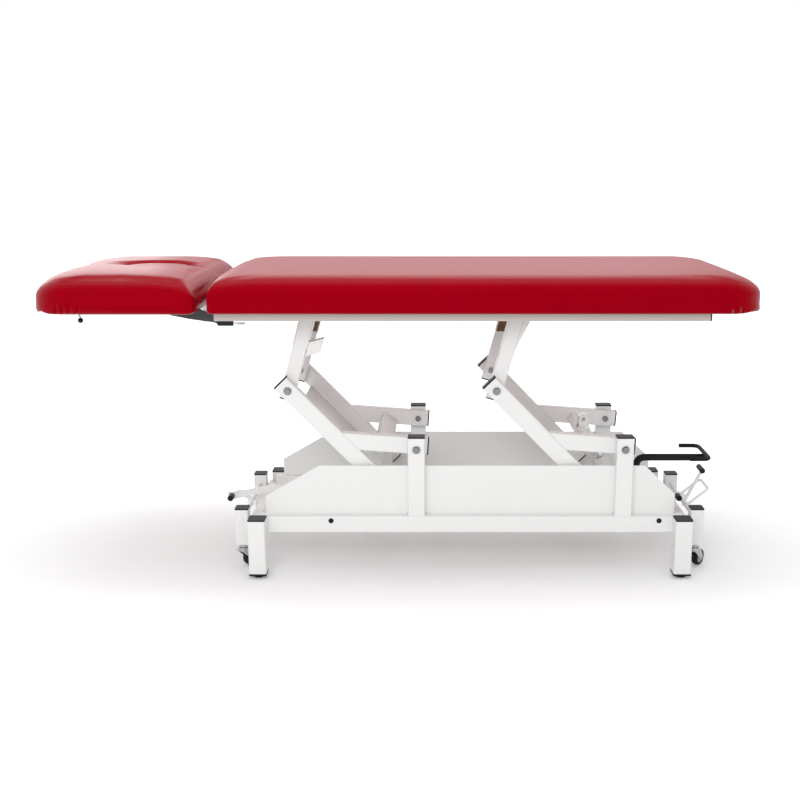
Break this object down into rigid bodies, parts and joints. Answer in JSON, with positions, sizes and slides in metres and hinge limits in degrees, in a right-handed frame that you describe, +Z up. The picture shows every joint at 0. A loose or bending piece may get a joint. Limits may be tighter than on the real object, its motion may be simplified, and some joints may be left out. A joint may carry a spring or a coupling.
{
  "type": "treatment couch",
  "caption": "Upholstered couch in two sections on a parallelogram lift with a hydraulic ram, over a low base with retractable swivel castors.",
  "frame": {"origin": "on the floor, under the middle of the bed", "axes": "+X towards the foot end, +Y across to the far side, +Z up"},
  "size_m": [2.028, 0.7, 0.8915],
  "materials": {
    "white_powder_coat": "semi-gloss powder coat",
    "black_plastic": "moulded",
    "black_knob": "moulded gloss",
    "rubber_glide": "moulded rubber",
    "black_steel": "satin black",
    "zinc_steel": "zinc plated",
    "ram_chrome": "hard chrome",
    "ram_grey": "grey enamel",
    "castor_tyre": "black tyre, grey hub",
    "plywood": "bare birch plywood",
    "red_leatherette": "grained PVC-coated cloth"
  },
  "bodies": {
    "base": {"base_rails": "white_powder_coat", "base_cross_tubes": "white_powder_coat", "corner_posts": "white_powder_coat", "base_tube_caps": "black_plastic", "foot_glides": "rubber_glide", "pivot_posts": "white_powder_coat", "lift_pivot_bolts": "zinc_steel", "side_panels": "white_powder_coat", "rail_hole_plugs": "black_plastic", "ram_foot_bracket": "white_powder_coat", "pump_lever_bracket": "white_powder_coat"},
    "left_arms": {"left_lift_arms": "white_powder_coat", "left_arm_cross_tubes": "white_powder_coat", "left_arm_caps": "black_plastic", "left_knee_bolts": "zinc_steel"},
    "right_arms": {"right_lift_arms": "white_powder_coat", "right_arm_cross_tubes": "white_powder_coat", "right_arm_caps": "black_plastic", "right_knee_bolts": "zinc_steel"},
    "bed": {"bed_rails": "white_powder_coat", "bed_cross_tubes": "white_powder_coat", "gas_spring_bracket": "white_powder_coat", "bed_tube_caps": "black_plastic", "left_bed_legs": "white_powder_coat", "right_bed_legs": "white_powder_coat", "leg_braces": "white_powder_coat", "main_board": "plywood", "main_cushion": "red_leatherette", "head_hinge_brackets": "black_steel", "head_hinge_pins": "zinc_steel"},
    "head": {"head_arms": "black_steel", "head_cross_tube": "white_powder_coat", "head_board": "plywood", "head_cushion": "red_leatherette", "release_lever_saddle": "black_plastic"},
    "face_plug": {"face_plug": "red_leatherette"},
    "release_lever": {"release_lever": "white_powder_coat", "release_knob": "black_knob"},
    "gas_rod": {"gas_spring_rod": "zinc_steel"},
    "gas_cylinder": {"gas_spring_cylinder": "black_steel"},
    "ram_rod": {"ram_rod": "ram_chrome"},
    "ram_cylinder": {"ram_cylinder": "ram_grey"},
    "pump_lever": {"pump_lever": "black_steel"},
    "right_castor_shaft": {"right_castor_shaft": "white_powder_coat", "right_pedal_grips": "black_plastic"},
    "left_castor_shaft": {"left_castor_shaft": "white_powder_coat", "left_pedal_knob": "black_plastic"},
    "tie_bar": {"castor_tie_bar": "white_powder_coat"},
    "near_left_slider": {"near_left_slider": "zinc_steel"},
    "near_left_fork": {"near_left_fork": "zinc_steel"},
    "near_left_wheel": {"near_left_wheel": "castor_tyre"},
    "far_left_slider": {"far_left_slider": "zinc_steel"},
    "far_left_fork": {"far_left_fork": "zinc_steel"},
    "far_left_wheel": {"far_left_wheel": "castor_tyre"},
    "near_right_slider": {"near_right_slider": "zinc_steel"},
    "near_right_fork": {"near_right_fork": "zinc_steel"},
    "near_right_wheel": {"near_right_wheel": "castor_tyre"},
    "far_right_slider": {"far_right_slider": "zinc_steel"},
    "far_right_fork": {"far_right_fork": "zinc_steel"},
    "far_right_wheel": {"far_right_wheel": "castor_tyre"}
  },
  "joints": [
    {"name": "bed_lift", "type": "hinge", "parent": "base", "child": "left_arms", "pos_m": [0.047, 0, 0.379], "axis": [0, 1, 0], "range_deg": [-48.9, 14.8]},
    {"name": "right_arms_pivot", "type": "hinge", "parent": "base", "child": "right_arms", "pos_m": [0.6555, 0, 0.379], "axis": [0, 1, 0], "range_deg": [-49.4, 15.3]},
    {"name": "bed_level", "type": "hinge", "parent": "left_arms", "child": "bed", "pos_m": [-0.3275, 0, 0.545], "axis": [0, 1, 0], "range_deg": [-15.3, 49.4]},
    {"name": "head_tilt", "type": "hinge", "parent": "bed", "child": "head", "pos_m": [-0.535, 0, 0.771], "axis": [0, 1, 0], "range_deg": [-60, 12]},
    {"name": "gas_rod_pivot", "type": "hinge", "parent": "head", "child": "gas_rod", "pos_m": [-0.555, 0, 0.73], "axis": [0, 1, 0], "range_deg": [-12.32, 59.6]},
    {"name": "gas_spring_slide", "type": "slide", "parent": "gas_rod", "child": "gas_cylinder", "axis": [0.999, 0, 0.0452], "range_m": [-0.04527, 0.00945]},
    {"name": "release_lever_turn", "type": "hinge", "parent": "head", "child": "release_lever", "pos_m": [-0.904, -0.22, 0.79], "axis": [0, 1, 0], "range_deg": [0, 35], "stiffness_Nm_per_rad": 0.1, "springref_deg": -5.73},
    {"name": "face_plug_lift", "type": "slide", "parent": "head", "child": "face_plug", "axis": [0, 0, 1], "range_m": [0, 0.12]},
    {"name": "ram_rod_pivot", "type": "hinge", "parent": "right_arms", "child": "ram_rod", "pos_m": [0.5605, 0, 0.42], "axis": [0, 1, 0], "range_deg": [-12.2, 39.17]},
    {"name": "ram_slide", "type": "slide", "parent": "ram_rod", "child": "ram_cylinder", "axis": [0.4047, 0, -0.9144], "range_m": [-0.07237, 0.02225]},
    {"name": "pump_lever_stroke", "type": "hinge", "parent": "base", "child": "pump_lever", "pos_m": [0.691, 0, 0.297], "axis": [0, 1, 0], "range_deg": [0, 8], "stiffness_Nm_per_rad": 60, "springref_deg": -3.44},
    {"name": "castor_pedal", "type": "hinge", "parent": "base", "child": "right_castor_shaft", "pos_m": [0.882, 0, 0.152], "axis": [0, 1, 0], "range_deg": [0, 25]},
    {"name": "left_shaft_turn", "type": "hinge", "parent": "base", "child": "left_castor_shaft", "pos_m": [-0.474, 0, 0.152], "axis": [0, 1, 0], "range_deg": [-0.5, 25.5]},
    {"name": "tie_bar_pin", "type": "hinge", "parent": "right_castor_shaft", "child": "tie_bar", "pos_m": [0.857, -0.034, 0.179], "axis": [0, 1, 0], "range_deg": [-24.94, 0.5]},
    {"name": "near_left_slide", "type": "slide", "parent": "base", "child": "near_left_slider", "axis": [0, 0, -1], "range_m": [-0.0005, 0.00683]},
    {"name": "near_left_swivel", "type": "hinge", "parent": "near_left_slider", "child": "near_left_fork", "pos_m": [-0.474, -0.183, 0.05], "axis": [0, 0, 1], "continuous": true},
    {"name": "near_left_roll", "type": "hinge", "parent": "near_left_fork", "child": "near_left_wheel", "pos_m": [-0.45729, -0.16308, 0.0265], "axis": [-0.766, 0.6428, 0], "continuous": true},
    {"name": "far_left_slide", "type": "slide", "parent": "base", "child": "far_left_slider", "axis": [0, 0, -1], "range_m": [-0.0005, 0.00683]},
    {"name": "far_left_swivel", "type": "hinge", "parent": "far_left_slider", "child": "far_left_fork", "pos_m": [-0.474, 0.183, 0.05], "axis": [0, 0, 1], "continuous": true},
    {"name": "far_left_roll", "type": "hinge", "parent": "far_left_fork", "child": "far_left_wheel", "pos_m": [-0.45729, 0.20292, 0.0265], "axis": [-0.766, 0.6428, 0], "continuous": true},
    {"name": "near_right_slide", "type": "slide", "parent": "base", "child": "near_right_slider", "axis": [0, 0, -1], "range_m": [-0.0005, 0.00683]},
    {"name": "near_right_swivel", "type": "hinge", "parent": "near_right_slider", "child": "near_right_fork", "pos_m": [0.882, -0.183, 0.05], "axis": [0, 0, 1], "continuous": true},
    {"name": "near_right_roll", "type": "hinge", "parent": "near_right_fork", "child": "near_right_wheel", "pos_m": [0.89871, -0.16308, 0.0265], "axis": [-0.766, 0.6428, 0], "continuous": true},
    {"name": "far_right_slide", "type": "slide", "parent": "base", "child": "far_right_slider", "axis": [0, 0, -1], "range_m": [-0.0005, 0.00683]},
    {"name": "far_right_swivel", "type": "hinge", "parent": "far_right_slider", "child": "far_right_fork", "pos_m": [0.882, 0.183, 0.05], "axis": [0, 0, 1], "continuous": true},
    {"name": "far_right_roll", "type": "hinge", "parent": "far_right_fork", "child": "far_right_wheel", "pos_m": [0.89871, 0.20292, 0.0265], "axis": [-0.766, 0.6428, 0], "continuous": true}
  ],
  "couplings": [
    {"joint": "right_arms_pivot", "follows": "bed_lift", "ratio": 1},
    {"joint": "bed_level", "follows": "bed_lift", "ratio": -1},
    {"joint": "gas_rod_pivot", "follows": "head_tilt", "ratio": -0.985},
    {"joint": "gas_spring_slide", "follows": "head_tilt", "m_per_rad": 0.04275},
    {"joint": "ram_rod_pivot", "follows": "bed_lift", "ratio": -0.7907},
    {"joint": "ram_slide", "follows": "bed_lift", "m_per_rad": 0.08421},
    {"joint": "left_shaft_turn", "follows": "castor_pedal", "ratio": 1},
    {"joint": "tie_bar_pin", "follows": "castor_pedal", "ratio": -0.9777},
    {"joint": "near_left_slide", "follows": "castor_pedal", "m_per_rad": 0.0145},
    {"joint": "far_left_slide", "follows": "castor_pedal", "m_per_rad": 0.0145},
    {"joint": "near_right_slide", "follows": "castor_pedal", "m_per_rad": 0.0145},
    {"joint": "far_right_slide", "follows": "castor_pedal", "m_per_rad": 0.0145}
  ]
}
